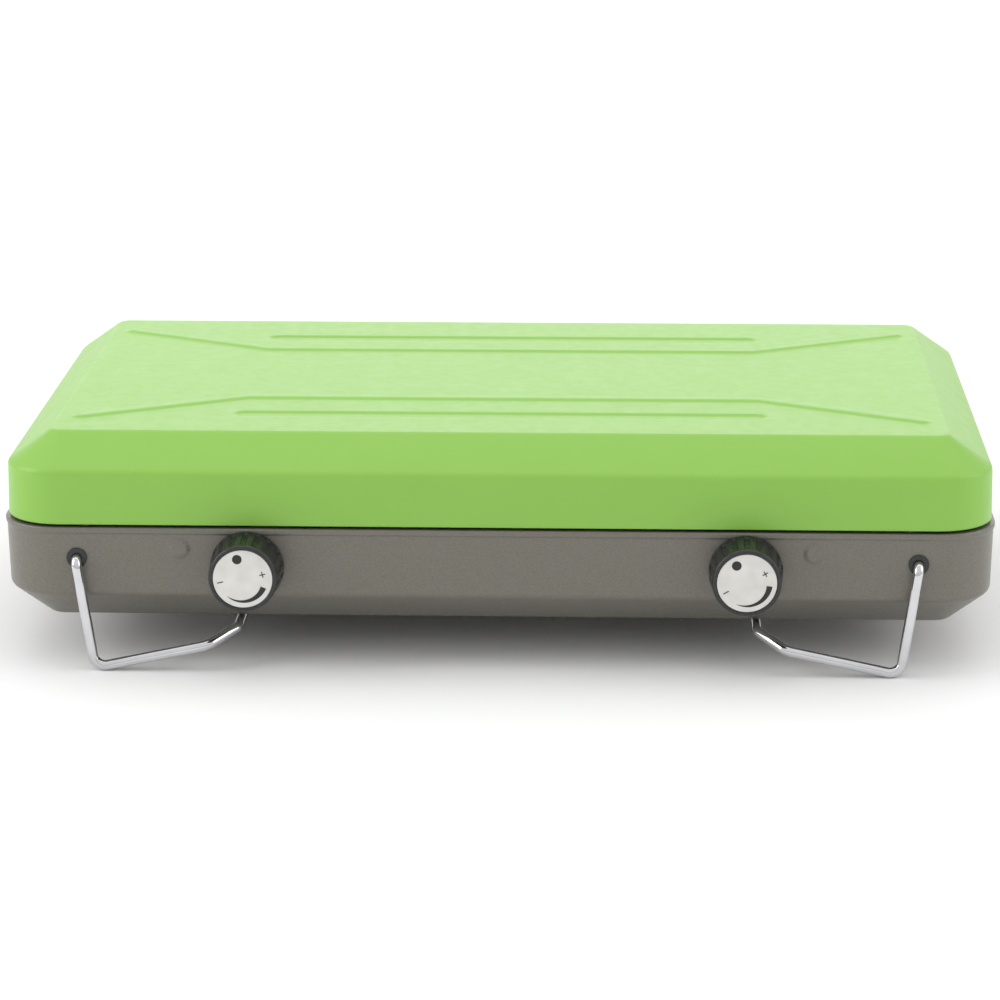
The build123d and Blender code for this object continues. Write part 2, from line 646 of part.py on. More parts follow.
def base_leaf(sx, tray_solid):
    """Hinge leaf on the tray's rear wall, with the two outer knuckles."""
    x = sx * HINGE_X
    leaf = block(x - LEAF_HALF, x + LEAF_HALF, REAR_Y - 2, REAR_Y + LEAF_T,
                 BASE_RIVET_Z - 8, RIM_Z - 2)
    inner = LID_KNUCKLE_HALF + KNUCKLE_GAP
    for dx in (-1, 1):
        ends = sorted((x + dx * inner, x + dx * LEAF_HALF))
        leaf += rod_x(HINGE_Y, HINGE_Z, ends[0], ends[1], KNUCKLE_R)
        leaf += block(ends[0], ends[1], REAR_Y, HINGE_Y, HINGE_Z - KNUCKLE_R, RIM_Z - 1.2)
    leaf -= rod_x(HINGE_Y, HINGE_Z, x - 30, x + 30, PIN_R)
    leaf -= tray_form(0)
    for rivet_x, rivet_z in hinge_rivet_spots(BASE_RIVET_Z):
        leaf -= rod_y(rivet_x, rivet_z, NEAR_Y, FAR_Y, RIVET_R)
    return biggest(leaf)


def lid_leaf(sx):
    """Hinge leaf on the lid's rear wall, with the middle knuckle."""
    x = sx * HINGE_X
    wall = LID_D / 2
    leaf = block(x - LEAF_HALF, x + LEAF_HALF, wall - 2, wall + LEAF_T,
                 LID_Z + 1.5, LID_RIVET_Z + 8)
    half = LID_KNUCKLE_HALF
    leaf += block(x - half, x + half, wall, HINGE_Y, LID_Z + 1.5, HINGE_Z + KNUCKLE_R)
    leaf += rod_x(HINGE_Y, HINGE_Z, x - half, x + half, KNUCKLE_R)
    leaf -= rod_x(HINGE_Y, HINGE_Z, x - 30, x + 30, PIN_R + RUN_GAP)
    leaf -= lid_form(0)
    for rivet_x, rivet_z in hinge_rivet_spots(LID_RIVET_Z):
        leaf -= rod_y(rivet_x, rivet_z, NEAR_Y, FAR_Y, RIVET_R)
    return biggest(leaf)


def hinge_pins():
    """One pin through each hinge, tight in the tray leaf's knuckles."""
    return [rod_x(HINGE_Y, HINGE_Z, sx * HINGE_X - LEAF_HALF - 1,
                  sx * HINGE_X + LEAF_HALF + 1, PIN_R) for sx in SIDES.values()]


def rivets(z, outside, inside):
    """Domed rivets through a hinge leaf and the wall behind it."""
    group = []
    for x, rivet_z in hinge_rivet_spots(z):
        rivet = rod_y(x, rivet_z, inside, outside, RIVET_R)
        rivet += Pos(x, outside + 0.6, rivet_z) * Rot(-90, 0, 0) * Cone(3.0, 1.8, 1.2)
        rivet += rod_y(x, rivet_z, inside - 0.8, inside, 2.8)
        group.append(rivet)
    return group


def main():
    os.makedirs("parts", exist_ok=True)
    tray = base_tray()
    save(tray, "base_tray")
    save(lid_shell(), "lid_shell")
    save_group(lid_buffers(), "lid_buffers")
    save(drip_pan(), "drip_pan")
    save_group(hob_screws(), "drip_pan_screws")
    save_group(burner_screws(), "burner_screws")
    save_group(valve_screws(tray), "valve_screws")
    save(gas_manifold(), "gas_manifold")
    save(gas_inlet(), "gas_inlet")
    save(inlet_gasket(tray), "inlet_gasket")
    save(inlet_lock_nut(tray), "inlet_lock_nut")
    save(pipe_clip(), "pipe_clip")
    save_group(leg_bushes(tray), "leg_bushes")
    save_group(hinge_pins(), "hinge_pins")
    wall_in = wall_y(BASE_RIVET_Z) - SHEET
    save_group(rivets(BASE_RIVET_Z, REAR_Y + LEAF_T, wall_in - 0.15), "hinge_rivets_base")
    lid_in = LID_D / 2 - SHEET - LID_DRAFT
    save_group(rivets(LID_RIVET_Z, LID_D / 2 + LEAF_T, lid_in - 0.1), "hinge_rivets_lid")
    for side, sx in SIDES.items():
        save(burner_body(sx), f"burner_body_{side}")
        save(burner_cap(sx), f"burner_cap_{side}")
        save(valve_body(sx, tray), f"valve_body_{side}")
        save(injector(sx), f"injector_{side}")
        save(valve_spindle(sx), f"valve_spindle_{side}")
        save(pan_support(sx), f"pan_support_{side}")
        save(knob_body(sx), f"knob_body_{side}")
        save(knob_disc(sx), f"knob_disc_{side}")
        save(leg_bail(sx), f"leg_bail_{side}")
        save_group(leg_clips(sx), f"leg_clips_{side}")
        save(base_leaf(sx, tray), f"hinge_base_leaf_{side}")
        save(lid_leaf(sx), f"hinge_lid_leaf_{side}")


main()
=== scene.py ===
import json
from math import atan2, cos, hypot, pi, radians, sin, tan

import bmesh
import bpy
from mathutils import Matrix, Vector


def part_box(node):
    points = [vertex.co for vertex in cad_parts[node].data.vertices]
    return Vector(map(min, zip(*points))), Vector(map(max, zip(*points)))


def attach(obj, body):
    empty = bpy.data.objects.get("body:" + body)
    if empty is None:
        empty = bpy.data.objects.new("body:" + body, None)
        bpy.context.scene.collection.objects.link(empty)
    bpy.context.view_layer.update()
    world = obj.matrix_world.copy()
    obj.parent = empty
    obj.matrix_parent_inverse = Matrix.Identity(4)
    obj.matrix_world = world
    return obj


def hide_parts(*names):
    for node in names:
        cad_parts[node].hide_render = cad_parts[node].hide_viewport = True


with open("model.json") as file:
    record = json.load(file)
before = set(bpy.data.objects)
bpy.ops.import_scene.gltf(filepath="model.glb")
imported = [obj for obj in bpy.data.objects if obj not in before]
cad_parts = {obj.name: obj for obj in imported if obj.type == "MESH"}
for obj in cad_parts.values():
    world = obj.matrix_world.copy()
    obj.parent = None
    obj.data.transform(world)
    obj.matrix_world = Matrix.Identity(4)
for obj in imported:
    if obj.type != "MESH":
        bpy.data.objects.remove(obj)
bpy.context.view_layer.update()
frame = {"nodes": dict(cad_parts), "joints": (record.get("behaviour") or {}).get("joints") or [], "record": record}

# Looks of a suitcase-style two-burner camping stove. Lengths in this script are millimetres
# until a mesh is made; the frame and every Blender object are in metres.
MM = 0.001
joint_at = {j["name"]: Vector(j["pos_m"]) / MM for j in frame["joints"]}


def box_mm(node):
    low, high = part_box(node)
    return low / MM, high / MM


# ---- meshes ----
def finish_mesh(bm, name, material, sharp=35.0):
    """Turns the bmesh, in millimetres, into a smooth-shaded object in metres."""
    bmesh.ops.recalc_face_normals(bm, faces=bm.faces)
    bm.transform(Matrix.Scale(MM, 4))
    mesh = bpy.data.meshes.new(name)
    bm.to_mesh(mesh)
    bm.free()
    for polygon in mesh.polygons:
        polygon.use_smooth = True
    mesh.set_sharp_from_angle(angle=radians(sharp))
    mesh.materials.append(material)
    piece = bpy.data.objects.new(name, mesh)
    bpy.context.scene.collection.objects.link(piece)
    return piece


def join_rings(bm, lower, upper):
    """Quads between two closed rings with equally many vertices."""
    count = len(lower)
    for k in range(count):
        following = (k + 1) % count
        bm.faces.new((lower[k], lower[following], upper[following], upper[k]))


def fillet(before, corner, after, radius, steps):
    """Points of an arc that rounds the corner between two straight runs."""
    back = (before - corner).normalized()
    ahead = (after - corner).normalized()
    half = back.angle(ahead) / 2
    centre = corner + (back + ahead).normalized() * radius / sin(half)
    start = corner + back * radius / tan(half)
    axis = back.cross(ahead).normalized()
    sweep = pi - 2 * half
    return [Matrix.Rotation(-sweep * s / steps, 3, axis) @ (start - centre) + centre
            for s in range(steps + 1)]


def rounded_path(points, radii, steps):
    """The points with every inner corner rounded."""
    points = [Vector(p) for p in points]
    path = [points[0]]
    for before, corner, after, radius in zip(points, points[1:], points[2:], radii):
        path += fillet(before, corner, after, radius, steps)
    return path + [points[-1]]


def split_long(path, longest):
    """The same path with its long straight runs divided."""
    fine = [path[0]]
    for start, end in zip(path, path[1:]):
        parts = max(1, round((end - start).length / longest))
        fine += [start.lerp(end, k / parts) for k in range(1, parts + 1)]
    return fine


def add_tube(bm, path, radius, end_round=0.6):
    """A round wire along the path, with slightly rounded ends."""
    ahead = (path[1] - path[0]).normalized()
    behind = (path[-1] - path[-2]).normalized()
    stations = [(path[0], radius - end_round)]
    stations.append((path[0] + ahead * end_round, radius))
    stations += [(p, radius) for p in path[1:-1]]
    stations.append((path[-1] - behind * end_round, radius))
    stations.append((path[-1], radius - end_round))
    side = ahead.orthogonal().normalized()
    rings = []
    for k, (point, size) in enumerate(stations):
        previous = stations[max(k - 1, 0)][0]
        following = stations[min(k + 1, len(stations) - 1)][0]
        along = (following - previous).normalized()
        side = (side - along * side.dot(along)).normalized()
        other = along.cross(side)
        ring = []
        for n in range(WIRE_SIDES):
            turn = 2 * pi * n / WIRE_SIDES
            spot = point + (side * cos(turn) + other * sin(turn)) * size
            ring.append(bm.verts.new(spot))
        rings.append(ring)
    for lower, upper in zip(rings, rings[1:]):
        join_rings(bm, lower, upper)
    bm.faces.new(rings[0])
    bm.faces.new(rings[-1])


# ---- pressed sheet shells on a grid of columns and rows ----
CORNER_CELLS = 5


class PressGrid:
    """Columns and rows of a rounded rectangle, with a block of cells at each corner."""

    def __init__(self, columns, rows):
        self.columns = columns
        self.rows = rows
        self.last_i = len(columns) - 1 + 2 * CORNER_CELLS
        self.last_j = len(rows) - 1 + 2 * CORNER_CELLS
        front = [(i, 0) for i in range(self.last_i)]
        right = [(self.last_i, j) for j in range(self.last_j)]
        rear = [(i, self.last_j) for i in range(self.last_i, 0, -1)]
        left = [(0, j) for j in range(self.last_j, 0, -1)]
        self.edge = front + right + rear + left

    def split(self, index, lines):
        """Side -1, 0 or 1, and how far into the corner block or which line it is."""
        if index < CORNER_CELLS:
            return -1, 1 - index / CORNER_CELLS
        if index > CORNER_CELLS + len(lines) - 1:
            return 1, (index - CORNER_CELLS - len(lines) + 1) / CORNER_CELLS
        return 0, lines[index - CORNER_CELLS]

    def spot(self, i, j, half_w, half_d, radius):
        """The place of one grid point on a rounded rectangle."""
        side_x, u = self.split(i, self.columns)
        side_y, v = self.split(j, self.rows)
        x = u * (half_w - radius) if side_x == 0 else side_x * (half_w - radius + radius * u)
        y = v * (half_d - radius) if side_y == 0 else side_y * (half_d - radius + radius * v)
        if side_x and side_y and max(u, v) > 0:
            reach = max(u, v)
            turn = (v / u) * pi / 4 if u >= v else pi / 2 - (u / v) * pi / 4
            x = side_x * (half_w - radius + radius * reach * cos(turn))
            y = side_y * (half_d - radius + radius * reach * sin(turn))
        return x, y


def add_shell(bm, grid, rings, cap_height, warp, adjust=lambda p: p):
    """A closed shell: a cap on the first ring, the rings in turn, and a cap on the last.
    Each ring is (half width, half depth, corner radius, height)."""
    loops = []
    for half_w, half_d, radius, z in rings:
        loop = {}
        for i, j in grid.edge:
            x, y = grid.spot(i, j, half_w, half_d, radius)
            loop[i, j] = bm.verts.new(adjust(Vector((x, y, z))))
        loops.append(loop)
    for lower, upper in zip(loops, loops[1:]):
        join_rings(bm, [lower[e] for e in grid.edge], [upper[e] for e in grid.edge])
    for loop, (half_w, half_d, radius, z) in ((loops[0], rings[0]), (loops[-1], rings[-1])):
        points = dict(loop)
        for i in range(1, grid.last_i):
            for j in range(1, grid.last_j):
                x, y = warp(*grid.spot(i, j, half_w, half_d, radius))
                points[i, j] = bm.verts.new((x, y, z + cap_height(x, y)))
        for i in range(grid.last_i):
            for j in range(grid.last_j):
                bm.faces.new((points[i, j], points[i + 1, j],
                              points[i + 1, j + 1], points[i, j + 1]))


def lines_between(stops):
    """Symmetric grid lines from (position, step) stops that start at the middle."""
    positions = [0.0]
    for (start, step), (end, _) in zip(stops, stops[1:]):
        count = max(1, round((end - start) / step))
        positions += [start + (end - start) * k / count for k in range(1, count + 1)]
    limit = positions[-1]
    scaled = [p / limit for p in positions]
    return [-p for p in reversed(scaled[1:])] + scaled


def profile(corners, steps=6):
    """Filleted section of a pressed wall: corners are (inset, height, bend radius)."""
    points = [Vector((inset, 0, z)) for inset, z, _ in corners]
    path = rounded_path(points, [bend for _, _, bend in corners[1:-1]], steps)
    return [(p.x, p.z) for p in path]


def smooth(value):
    """0 to 1 with soft ends."""
    value = min(max(value, 0.0), 1.0)
    return value * value * (3 - 2 * value)


# ---- materials ----
def new_material(name, color, roughness, metallic=0.0, coat=0.0, coat_roughness=0.1):
    material = bpy.data.materials.new(name)
    material.use_nodes = True
    shader = material.node_tree.nodes["Principled BSDF"]
    shader.inputs["Base Color"].default_value = (*color, 1)
    shader.inputs["Roughness"].default_value = roughness
    shader.inputs["Metallic"].default_value = metallic
    shader.inputs["Coat Weight"].default_value = coat
    shader.inputs["Coat Roughness"].default_value = coat_roughness
    return material


def add_node(owner, kind):
    return owner.node_tree.nodes.new(kind)


def noise(material, scale, detail):
    """A noise texture in the object's own coordinates, in metres."""
    place = add_node(material, "ShaderNodeTexCoord")
    texture = add_node(material, "ShaderNodeTexNoise")
    texture.inputs["Scale"].default_value = scale
    texture.inputs["Detail"].default_value = detail
    material.node_tree.links.new(place.outputs["Object"], texture.inputs["Vector"])
    return texture.outputs["Fac"]


def flakes(material, scale):
    """Cells with a random grey each, for metal flakes in a paint."""
    place = add_node(material, "ShaderNodeTexCoord")
    cells = add_node(material, "ShaderNodeTexVoronoi")
    cells.inputs["Scale"].default_value = scale
    split = add_node(material, "ShaderNodeSeparateColor")
    links = material.node_tree.links
    links.new(place.outputs["Object"], cells.inputs["Vector"])
    links.new(cells.outputs["Color"], split.inputs["Color"])
    return split.outputs["Red"]


def vary_color(material, pattern, first, second, low=0.3, high=0.7):
    """Base colour that runs between two colours with the pattern."""
    ramp = add_node(material, "ShaderNodeValToRGB")
    ramp.color_ramp.elements[0].position = low
    ramp.color_ramp.elements[1].position = high
    ramp.color_ramp.elements[0].color = (*first, 1)
    ramp.color_ramp.elements[1].color = (*second, 1)
    shader = material.node_tree.nodes["Principled BSDF"]
    links = material.node_tree.links
    links.new(pattern, ramp.inputs["Fac"])
    links.new(ramp.outputs["Color"], shader.inputs["Base Color"])


def vary_roughness(material, pattern, low, high):
    """Roughness that runs between two values with the pattern."""
    spread = add_node(material, "ShaderNodeMapRange")
    spread.inputs["From Min"].default_value = 0.3
    spread.inputs["From Max"].default_value = 0.7
    spread.inputs["To Min"].default_value = low
    spread.inputs["To Max"].default_value = high
    shader = material.node_tree.nodes["Principled BSDF"]
    links = material.node_tree.links
    links.new(pattern, spread.inputs["Value"])
    links.new(spread.outputs["Result"], shader.inputs["Roughness"])


def add_bump(material, pattern, strength, distance):
    bump = add_node(material, "ShaderNodeBump")
    bump.inputs["Strength"].default_value = strength
    bump.inputs["Distance"].default_value = distance
    shader = material.node_tree.nodes["Principled BSDF"]
    links = material.node_tree.links
    links.new(pattern, bump.inputs["Height"])
    links.new(bump.outputs["Normal"], shader.inputs["Normal"])


def shade(color, factor):
    """The same colour, darker or lighter."""
    return tuple(min(1.0, c * factor) for c in color)


def painted(name, color, roughness, grain_scale, grain_depth):
    """Powder coat: a fine orange peel, faint cloudiness and uneven gloss."""
    material = new_material(name, color, roughness)
    vary_color(material, noise(material, 38, 3), shade(color, 0.99), shade(color, 1.01))
    vary_roughness(material, noise(material, 160, 3), roughness - 0.03, roughness + 0.04)
    add_bump(material, noise(material, grain_scale, 3), 0.35, grain_depth)
    return material


def flake_paint(name, color, roughness):
    """Metallic paint: small bright and dark flakes under a satin clear coat."""
    material = new_material(name, color, roughness, metallic=0.25, coat=0.25,
                            coat_roughness=0.3)
    vary_color(material, flakes(material, 1900), shade(color, 0.90), shade(color, 1.11),
               0.1, 0.9)
    vary_roughness(material, noise(material, 420, 3), roughness - 0.05, roughness + 0.05)
    add_bump(material, noise(material, 900, 2), 0.3, 0.00002)
    return material


def plated(name, color, low, high, scale=300, depth=0.00001):
    """Plated metal with faint clouds in its polish."""
    material = new_material(name, color, (low + high) / 2, metallic=1.0)
    vary_color(material, noise(material, scale / 4, 4), shade(color, 0.93), shade(color, 1.05))
    vary_roughness(material, noise(material, scale, 4), low, high)
    add_bump(material, noise(material, scale * 3, 3), 0.25, depth)
    return material


def moulded(name, color, roughness, scale, depth, metallic=0.0):
    """Moulded or cast surface with a fine grain."""
    material = new_material(name, color, roughness, metallic)
    vary_color(material, noise(material, 220, 4), shade(color, 0.85), shade(color, 1.2))
    vary_roughness(material, noise(material, 500, 3), roughness - 0.05, roughness + 0.06)
    add_bump(material, noise(material, scale, 3), 0.5, depth)
    return material


LIME = (0.245, 0.500, 0.070)
TAUPE = (0.160, 0.150, 0.124)
materials = {
    "lid_paint": painted("lid_paint", LIME, 0.36, 850, 0.00006),
    "tray_paint": flake_paint("tray_paint", TAUPE, 0.42),
    "hob_enamel": painted("hob_enamel", (0.018, 0.018, 0.019), 0.22, 500, 0.00008),
    "chrome": plated("chrome", (0.64, 0.64, 0.66), 0.04, 0.09),
    "steel": plated("steel", (0.55, 0.55, 0.54), 0.26, 0.42, 420, 0.00003),
    "brass": plated("brass", (0.62, 0.43, 0.16), 0.22, 0.36),
    "burner_alloy": moulded("burner_alloy", (0.42, 0.42, 0.41), 0.5, 700, 0.00015, 0.8),
    "burner_black": moulded("burner_black", (0.022, 0.021, 0.02), 0.55, 600, 0.00015),
    "black_plastic": moulded("black_plastic", (0.017, 0.018, 0.018), 0.3, 1400, 0.00002),
    "dial_plate": plated("dial_plate", (0.69, 0.68, 0.65), 0.36, 0.5, 500, 0.00001),
    "rubber": moulded("rubber", (0.02, 0.02, 0.02), 0.75, 900, 0.00008),
}
dial_ink = moulded("dial_ink", (0.012, 0.012, 0.011), 0.45, 1500, 0.00001)


# ---- lid ----
lid_low, lid_high = box_mm("lid_shell")
SHEET = 0.8           # thickness of the pressed steel
BEAD_H = 1.0          # height of the beads, and depth of the grooves
LEAST_R = 2.0         # smallest plan radius of a shell's corner
LID_HALF_W, LID_HALF_D = lid_high.x, lid_high.y
LID_TOP = lid_high.z - BEAD_H
LID_SHOULDER = lid_low.z + 31.1
LID_CORNER_R = 33.0
CHAMFER_W = 25.6
TOP_CORNER_R = 7.0
BEAD_BEND = Vector((152.0, 62.5))
BEAD_END = Vector((245.0, 110.5))
FRONT_GROOVE_END = Vector((149.0, 102.0))
REAR_GROOVE_END = Vector((149.0, 94.0))
BEAD_HALF, BEAD_FLANK = 6.0, 4.5
GROOVE_HALF, GROOVE_FLANK = 7.5, 3.5


def away_from(x, y, start, end):
    """Distance from a point to a straight segment."""
    point = Vector((x, y))
    run = end - start
    share = min(max((point - start).dot(run) / run.length_squared, 0.0), 1.0)
    return (point - start - run * share).length


def lid_relief(x, y):
    """Raised long beads and sunk grooves in the lid's flat top."""
    groove_end = FRONT_GROOVE_END if y < 0 else REAR_GROOVE_END
    x, y = abs(x), abs(y)
    middle = away_from(x, y, Vector((0, BEAD_BEND.y)), BEAD_BEND)
    slant = away_from(x, y, BEAD_BEND, BEAD_END)
    groove = away_from(x, y, Vector((0, groove_end.y)), groove_end)
    raised = smooth((BEAD_HALF - min(middle, slant)) / BEAD_FLANK)
    sunk = smooth((GROOVE_HALF - groove) / GROOVE_FLANK)
    return BEAD_H * (raised - sunk)


# Grid rows before they are bent: middle, both sides of a bead, both sides of the grooves, edge
ROW_STOPS = (0.0, 56.0, 69.0, 85.0, 111.0, 130.0)
ROW_SHIFTS = (0.0, 48.0, 48.0, 36.0, 14.0, 0.0)    # how far each is bent out by a bead's end


def lid_warp(x, y):
    """Bends the grid's rows so that they follow the slanted beads."""
    along = min(max(abs(x) - BEAD_BEND.x, 0.0), BEAD_END.x - BEAD_BEND.x)
    share = along / (BEAD_END.x - BEAD_BEND.x)
    targets = [stop + shift * share for stop, shift in zip(ROW_STOPS, ROW_SHIFTS)]
    if abs(y) >= ROW_STOPS[-1]:
        return x, y
    for low, high, first, second in zip(ROW_STOPS, ROW_STOPS[1:], targets, targets[1:]):
        if abs(y) <= high:
            moved = first + (second - first) * (abs(y) - low) / (high - low)
            return x, moved if y > 0 else -moved
    return x, y


def lid_radius(inset):
    """Plan radius of the lid's corner at some inset from its rim."""
    share = min(max(inset / CHAMFER_W, 0.0), 1.0)
    edge = LID_CORNER_R + (TOP_CORNER_R - LID_CORNER_R) * share
    return max(LEAST_R, edge - max(0.0, inset - CHAMFER_W))


def lid_rings():
    """Section of the lid: outside from the top down, rim flange, then inside and up."""
    top, shoulder, rim = LID_TOP, LID_SHOULDER, lid_low.z
    outside = profile([(CHAMFER_W + 7, top, 0), (CHAMFER_W + 0.5, top, 5.0),
                       (0.5, shoulder, 4.5), (0.0, rim, 0.9), (6.4, rim, 0)])
    inside = profile([(6.4, rim + SHEET, 0), (SHEET, rim + SHEET, 0.6),
                      (SHEET + 0.5, shoulder - 0.4, 3.7),
                      (CHAMFER_W + 0.8, top - SHEET, 4.2), (CHAMFER_W + 7, top - SHEET, 0)])
    return [(LID_HALF_W - t, LID_HALF_D - t, lid_radius(t), z)
            for t, z in outside[1:] + inside[:-1]]


# Fine steps where the beads and grooves end, bend or rise, and coarse steps between
lid_columns = lines_between([(0, 11), (128, 4), (140, 1.3), (164, 6), (232, 1.4), (250, 1)])
lid_rows = lines_between([(0, 9), (48, 4), (56, 0.9), (69, 4), (85, 1.0), (111, 4), (134.5, 1)])
bm = bmesh.new()
add_shell(bm, PressGrid(lid_columns, lid_rows), lid_rings(), lid_relief, lid_warp)
lid = finish_mesh(bm, "lid_cover", materials["lid_paint"], 50)
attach(lid, "lid")
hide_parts("lid_shell")


# ---- base tray ----
tray_low, tray_high = box_mm("base_tray")
TRAY_HALF_W = tray_high.x
TRAY_HALF_D = LID_HALF_D + 1.0
RIM_Z = tray_high.z
TRAY_FLOOR = tray_low.z
TRAY_CREASE = TRAY_FLOOR + 19.0
TRAY_CORNER_R = 34.0
TRAY_FLOOR_CORNER_R = 9.0
TRAY_CHAMFER = 23.5
LEAN = 1.5            # how far the walls draw in between the rim and the crease
LIP_H = 2.8
LEDGE_DROP = 3.0      # the hob's ledge below the rim
pivot = joint_at["leg_right_fold"]
DIMPLE_X = 181.3
DIMPLE_Z = pivot.z + 5.8
DIMPLE_R = 6.2
DIMPLE_H = 1.2
DIMPLE_FLANK = 1.9
DIMPLE_LEVEL = 1.1    # step of the wall's levels, fine enough to carry the dimples


def dimple(point):
    """Presses a round boss out of the front and rear walls, inboard of each pivot."""
    far = hypot(abs(point.x) - DIMPLE_X, point.z - DIMPLE_Z)
    if far > DIMPLE_R or abs(point.y) < TRAY_HALF_D - 4:
        return point
    height = DIMPLE_H * smooth((DIMPLE_R - far) / DIMPLE_FLANK)
    return point + Vector((0, height if point.y > 0 else -height, 0))


def tray_radius(inset):
    """Plan radius of the tray's corner at some inset from its rim."""
    share = min(max(inset / (LEAN + TRAY_CHAMFER), 0.0), 1.0)
    edge = TRAY_CORNER_R + (TRAY_FLOOR_CORNER_R - TRAY_CORNER_R) * share
    return max(LEAST_R, edge - max(0.0, inset - LEAN - TRAY_CHAMFER))


def wall_levels(path):
    """Divides the tall straight run of the wall into levels."""
    fine = [path[0]]
    for (t0, z0), (t1, z1) in zip(path, path[1:]):
        is_wall = abs(z1 - z0) > 12 and t1 < 3
        parts = round(abs(z1 - z0) / DIMPLE_LEVEL) if is_wall else 1
        fine += [(t0 + (t1 - t0) * k / parts, z0 + (z1 - z0) * k / parts)
                 for k in range(1, parts + 1)]
    return fine


def tray_rings():
    """Section of the tray: outside from the floor up, rim, ledge, then inside and down."""
    foot = LEAN + TRAY_CHAMFER
    floor, crease, rim = TRAY_FLOOR, TRAY_CREASE, RIM_Z
    ledge = rim - LEDGE_DROP
    under_ledge = ledge - SHEET
    outside = profile([(foot + 8, floor, 0), (foot, floor, 5.5), (LEAN + 0.1, crease, 5.0),
                       (0.75, rim - LIP_H - 1.1, 0.9), (0.0, rim - LIP_H, 0.5),
                       (0.0, rim, 1.0), (7.0, rim, 0.7), (7.0, ledge, 0.5),
                       (19.0, ledge, 0)], 5)
    inside = profile([(19.0, under_ledge, 0), (SHEET + 0.6, under_ledge, 0.6),
                      (LEAN + SHEET, crease + 0.4, 4.2),
                      (foot + 0.6, floor + SHEET, 4.7), (foot + 8, floor + SHEET, 0)], 4)
    path = wall_levels(outside[1:]) + wall_levels(inside[:-1])
    return [(TRAY_HALF_W - t, TRAY_HALF_D - t, tray_radius(t), z) for t, z in path]


tray_columns = lines_between([(0, 14), (174, 1.1), (190, 12), (252, 1)])
tray_rows = lines_between([(0, 14), (136, 1)])
bm = bmesh.new()
add_shell(bm, PressGrid(tray_columns, tray_rows), tray_rings(), lambda x, y: 0.0,
          lambda x, y: (x, y), dimple)
tray = finish_mesh(bm, "tray_pan", materials["tray_paint"], 50)
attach(tray, "base")
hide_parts("base_tray")


# ---- wire legs ----
WIRE_R = 3.0
WIRE_SIDES = 28
ARM_OUT = 4.8         # the arm's line outside the tray's wall
ARM_Y = TRAY_HALF_D + ARM_OUT
PIN_IN = 11.0         # how far the wire's end goes in past the wall
FOOT_IN = 9.2
FOOT_BEND_R = 7.0
STEP_X, STEP_Z = 166.0, 15.5
RUN_X, RUN_Z = 149.8, 21.3
RUN_Y = ARM_Y - 18.1
LEG_BENDS = [5.0, FOOT_BEND_R, 8.0, 6.0]
FOOT_Z = 1.5          # rough height of the foot's sharp corner, for the angles at the bend


def foot_corner_height():
    """Height of the foot's sharp corner that lets the rounded wire touch the ground."""
    drop = atan2(FOOT_Z - pivot.z, FOOT_IN)
    rise = atan2(STEP_Z - FOOT_Z, pivot.x - FOOT_IN - STEP_X)
    bisector = (rise + drop) / 2 + pi / 2
    sag = sin(bisector) / cos((rise - drop) / 2) - 1
    return WIRE_R - FOOT_BEND_R * sag


def leg(side, name):
    """One wire bail, from its front pivot pin to its rear one."""
    half = [(pivot.x, TRAY_HALF_D - PIN_IN, pivot.z), (pivot.x, ARM_Y, pivot.z),
            (pivot.x - FOOT_IN, ARM_Y, foot_corner_height()), (STEP_X, ARM_Y, STEP_Z),
            (RUN_X, RUN_Y, RUN_Z)]
    front = [(side * x, -y, z) for x, y, z in half]
    rear = [(side * x, y, z) for x, y, z in reversed(half)]
    path = split_long(rounded_path(front + rear, LEG_BENDS + LEG_BENDS[::-1], 10), 12)
    bm = bmesh.new()
    add_tube(bm, path, WIRE_R)
    piece = finish_mesh(bm, f"leg_wire_{name}", materials["chrome"])
    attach(piece, f"leg_{name}")
    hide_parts(f"leg_bail_{name}")


# ---- knobs and dials ----
FLUTES = 18
FLUTE_STEPS = 12
FLUTE_DEPTH = 1.15
DIAL_R = 17.1
DIAL_MARK_T = 0.12
DISC_SECTION = [(0.0, 6.0, 0), (0.0, 16.55, 0), (0.05, 16.8, 0), (0.2, 16.97, 0),
                (0.45, 17.02, 0), (0.8, 17.02, 0), (0.8, 6.0, 0)]


def ring_y(bm, centre, y, radius, flute):
    """One ring round the knob's axis, scalloped by the share of the flute depth."""
    count = FLUTES * FLUTE_STEPS
    ring = []
    for n in range(count):
        turn = 2 * pi * n / count
        scallop = smooth((0.25 + cos(FLUTES * turn)) / 0.95)
        size = radius - FLUTE_DEPTH * flute * scallop
        ring.append(bm.verts.new((centre.x + size * sin(turn), y, centre.z + size * cos(turn))))
    return ring


def turned(bm, centre, front, section):
    """A turned body from (distance behind the face, radius, flute share) stations."""
    rings = [ring_y(bm, centre, front + depth, radius, flute)
             for depth, radius, flute in section]
    for lower, upper in zip(rings, rings[1:]):
        join_rings(bm, lower, upper)
    bm.faces.new(rings[0])
    bm.faces.new(rings[-1])


